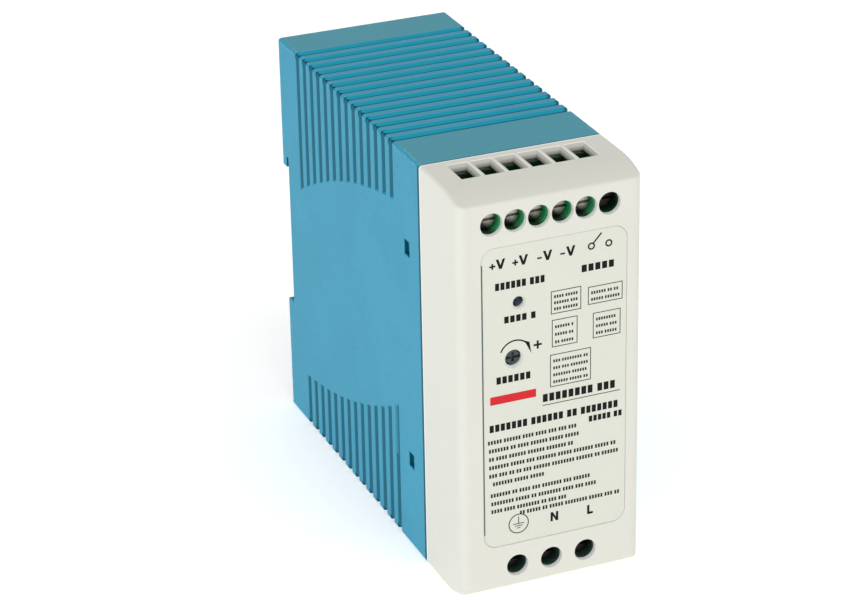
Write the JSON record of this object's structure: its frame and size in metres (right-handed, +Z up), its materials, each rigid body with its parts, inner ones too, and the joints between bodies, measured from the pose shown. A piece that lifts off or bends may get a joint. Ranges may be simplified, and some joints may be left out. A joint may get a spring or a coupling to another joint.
{
  "type": "din rail power supply",
  "caption": "Slim power supply for a 35 mm rail: ribbed blue housing, white front cover, screw terminals at top and bottom, sprung rail latch.",
  "frame": {"origin": "middle of the bottom of the object's box, on the plane it stands on", "axes": "+Z up along the unit's height, -Y the way the front face looks, +X to the right as seen from the front"},
  "size_m": [0.04, 0.1, 0.09],
  "materials": {
    "housing_blue": "fine grained moulded plastic, matt",
    "cover_white": "fine grained moulded plastic, warm white",
    "label_print": null,
    "latch_black": "glass filled black plastic",
    "spring_steel": "drawn spring wire",
    "block_green": "moulded green plastic",
    "block_dark": "moulded dark plastic",
    "screw_plated": "zinc plated, dull",
    "clamp_plated": "zinc plated sheet",
    "bar_brass": "tinned brass strip",
    "board_laminate": "glass laminate under green solder mask",
    "header_plastic": "black moulding compound",
    "pin_tinned": "tinned square wire",
    "insulation_film": "insulating paper film",
    "led_lens": "tinted diffused resin",
    "trimmer_blue": "blue moulded body",
    "rotor_white": "white slotted rotor",
    "ferrite": "sintered ferrite, dark grey",
    "bobbin_plastic": "phenolic",
    "winding_tape": "yellow polyester tape",
    "copper_wire": "enamelled copper wire",
    "can_sleeve": "shrink sleeve on an aluminium can",
    "x_case_yellow": "film capacitor case",
    "disc_blue": "dipped ceramic disc",
    "disc_green": "dipped thermistor disc",
    "fuse_metal": "nickel plated end cap",
    "fuse_tube": "clear glass tube",
    "heatsink_metal": "mill finish sheet",
    "package_black": "moulding compound",
    "sink_screw_steel": "zinc plated",
    "relay_case": "sealed relay case"
  },
  "bodies": {
    "housing": {"rear_housing": "housing_blue", "front_cover": "cover_white", "rating_label": "label_print", "latch_spring": "spring_steel", "output_terminal_body": "block_green", "input_terminal_body": "block_dark", "output_contact_bars": "bar_brass", "input_contact_bars": "bar_brass", "terminal_board": "board_laminate", "main_board": "board_laminate", "board_link_header": "header_plastic", "led_spacer": "header_plastic", "bridge_rectifier": "header_plastic", "optocouplers": "header_plastic", "control_chip": "header_plastic", "board_link_pins": "pin_tinned", "insulation_sheet": "insulation_film", "status_led": "led_lens", "trimmer_body": "trimmer_blue", "transformer_core": "ferrite", "common_mode_choke_core": "ferrite", "output_inductor_core": "ferrite", "transformer_bobbin": "bobbin_plastic", "transformer_winding": "winding_tape", "common_mode_choke_windings": "copper_wire", "output_inductor_windings": "copper_wire", "mains_capacitor": "can_sleeve", "output_capacitors": "can_sleeve", "x_capacitor": "x_case_yellow", "y_capacitors": "disc_blue", "surge_varistor": "disc_blue", "inrush_thermistor": "disc_green", "fuse_end_caps": "fuse_metal", "fuse_glass": "fuse_tube", "primary_heatsink": "heatsink_metal", "secondary_heatsink": "heatsink_metal", "switching_transistor": "package_black", "output_rectifier": "package_black", "heatsink_screws": "sink_screw_steel", "signal_relay": "relay_case"},
    "output_screw_1": {"output_screw_1": "screw_plated"},
    "output_clamp_1": {"output_clamp_1": "clamp_plated"},
    "output_screw_2": {"output_screw_2": "screw_plated"},
    "output_clamp_2": {"output_clamp_2": "clamp_plated"},
    "output_screw_3": {"output_screw_3": "screw_plated"},
    "output_clamp_3": {"output_clamp_3": "clamp_plated"},
    "output_screw_4": {"output_screw_4": "screw_plated"},
    "output_clamp_4": {"output_clamp_4": "clamp_plated"},
    "output_screw_5": {"output_screw_5": "screw_plated"},
    "output_clamp_5": {"output_clamp_5": "clamp_plated"},
    "output_screw_6": {"output_screw_6": "screw_plated"},
    "output_clamp_6": {"output_clamp_6": "clamp_plated"},
    "input_screw_1": {"input_screw_1": "screw_plated"},
    "input_clamp_1": {"input_clamp_1": "clamp_plated"},
    "input_screw_2": {"input_screw_2": "screw_plated"},
    "input_clamp_2": {"input_clamp_2": "clamp_plated"},
    "input_screw_3": {"input_screw_3": "screw_plated"},
    "input_clamp_3": {"input_clamp_3": "clamp_plated"},
    "trimmer_rotor": {"trimmer_rotor": "rotor_white"},
    "rail_latch": {"rail_latch": "latch_black"}
  },
  "joints": [
    {"name": "output_screw_1_turn", "type": "hinge", "parent": "housing", "child": "output_screw_1", "pos_m": [-0.0127, -0.0453, 0.08345], "axis": [0, 1, 0], "range_deg": [0, 1440]},
    {"name": "output_clamp_1_rise", "type": "slide", "parent": "housing", "child": "output_clamp_1", "axis": [0, -1, 0], "range_m": [0, 0.002]},
    {"name": "output_screw_2_turn", "type": "hinge", "parent": "housing", "child": "output_screw_2", "pos_m": [-0.00762, -0.0453, 0.08345], "axis": [0, 1, 0], "range_deg": [0, 1440]},
    {"name": "output_clamp_2_rise", "type": "slide", "parent": "housing", "child": "output_clamp_2", "axis": [0, -1, 0], "range_m": [0, 0.002]},
    {"name": "output_screw_3_turn", "type": "hinge", "parent": "housing", "child": "output_screw_3", "pos_m": [-0.00254, -0.0453, 0.08345], "axis": [0, 1, 0], "range_deg": [0, 1440]},
    {"name": "output_clamp_3_rise", "type": "slide", "parent": "housing", "child": "output_clamp_3", "axis": [0, -1, 0], "range_m": [0, 0.002]},
    {"name": "output_screw_4_turn", "type": "hinge", "parent": "housing", "child": "output_screw_4", "pos_m": [0.00254, -0.0453, 0.08345], "axis": [0, 1, 0], "range_deg": [0, 1440]},
    {"name": "output_clamp_4_rise", "type": "slide", "parent": "housing", "child": "output_clamp_4", "axis": [0, -1, 0], "range_m": [0, 0.002]},
    {"name": "output_screw_5_turn", "type": "hinge", "parent": "housing", "child": "output_screw_5", "pos_m": [0.00762, -0.0453, 0.08345], "axis": [0, 1, 0], "range_deg": [0, 1440]},
    {"name": "output_clamp_5_rise", "type": "slide", "parent": "housing", "child": "output_clamp_5", "axis": [0, -1, 0], "range_m": [0, 0.002]},
    {"name": "output_screw_6_turn", "type": "hinge", "parent": "housing", "child": "output_screw_6", "pos_m": [0.0127, -0.0453, 0.08345], "axis": [0, 1, 0], "range_deg": [0, 1440]},
    {"name": "output_clamp_6_rise", "type": "slide", "parent": "housing", "child": "output_clamp_6", "axis": [0, -1, 0], "range_m": [0, 0.002]},
    {"name": "input_screw_1_turn", "type": "hinge", "parent": "housing", "child": "input_screw_1", "pos_m": [-0.00762, -0.0453, 0.00655], "axis": [0, 1, 0], "range_deg": [0, 1440]},
    {"name": "input_clamp_1_rise", "type": "slide", "parent": "housing", "child": "input_clamp_1", "axis": [0, -1, 0], "range_m": [0, 0.002]},
    {"name": "input_screw_2_turn", "type": "hinge", "parent": "housing", "child": "input_screw_2", "pos_m": [0, -0.0453, 0.00655], "axis": [0, 1, 0], "range_deg": [0, 1440]},
    {"name": "input_clamp_2_rise", "type": "slide", "parent": "housing", "child": "input_clamp_2", "axis": [0, -1, 0], "range_m": [0, 0.002]},
    {"name": "input_screw_3_turn", "type": "hinge", "parent": "housing", "child": "input_screw_3", "pos_m": [0.00762, -0.0453, 0.00655], "axis": [0, 1, 0], "range_deg": [0, 1440]},
    {"name": "input_clamp_3_rise", "type": "slide", "parent": "housing", "child": "input_clamp_3", "axis": [0, -1, 0], "range_m": [0, 0.002]},
    {"name": "voltage_trim", "type": "hinge", "parent": "housing", "child": "trimmer_rotor", "pos_m": [-0.0081, -0.0482, 0.0537], "axis": [0, 1, 0], "range_deg": [-130, 130]},
    {"name": "latch_pull", "type": "slide", "parent": "housing", "child": "rail_latch", "axis": [0, 0, -1], "range_m": [0, 0.0045], "stiffness_N_per_m": 1200, "springref_m": -0.003, "deforming": ["latch_spring"]}
  ],
  "couplings": [
    {"joint": "output_screw_1_turn", "follows": "output_clamp_1_rise", "rad_per_m": 12566},
    {"joint": "output_screw_2_turn", "follows": "output_clamp_2_rise", "rad_per_m": 12566},
    {"joint": "output_screw_3_turn", "follows": "output_clamp_3_rise", "rad_per_m": 12566},
    {"joint": "output_screw_4_turn", "follows": "output_clamp_4_rise", "rad_per_m": 12566},
    {"joint": "output_screw_5_turn", "follows": "output_clamp_5_rise", "rad_per_m": 12566},
    {"joint": "output_screw_6_turn", "follows": "output_clamp_6_rise", "rad_per_m": 12566},
    {"joint": "input_screw_1_turn", "follows": "input_clamp_1_rise", "rad_per_m": 12566},
    {"joint": "input_screw_2_turn", "follows": "input_clamp_2_rise", "rad_per_m": 12566},
    {"joint": "input_screw_3_turn", "follows": "input_clamp_3_rise", "rad_per_m": 12566}
  ]
}
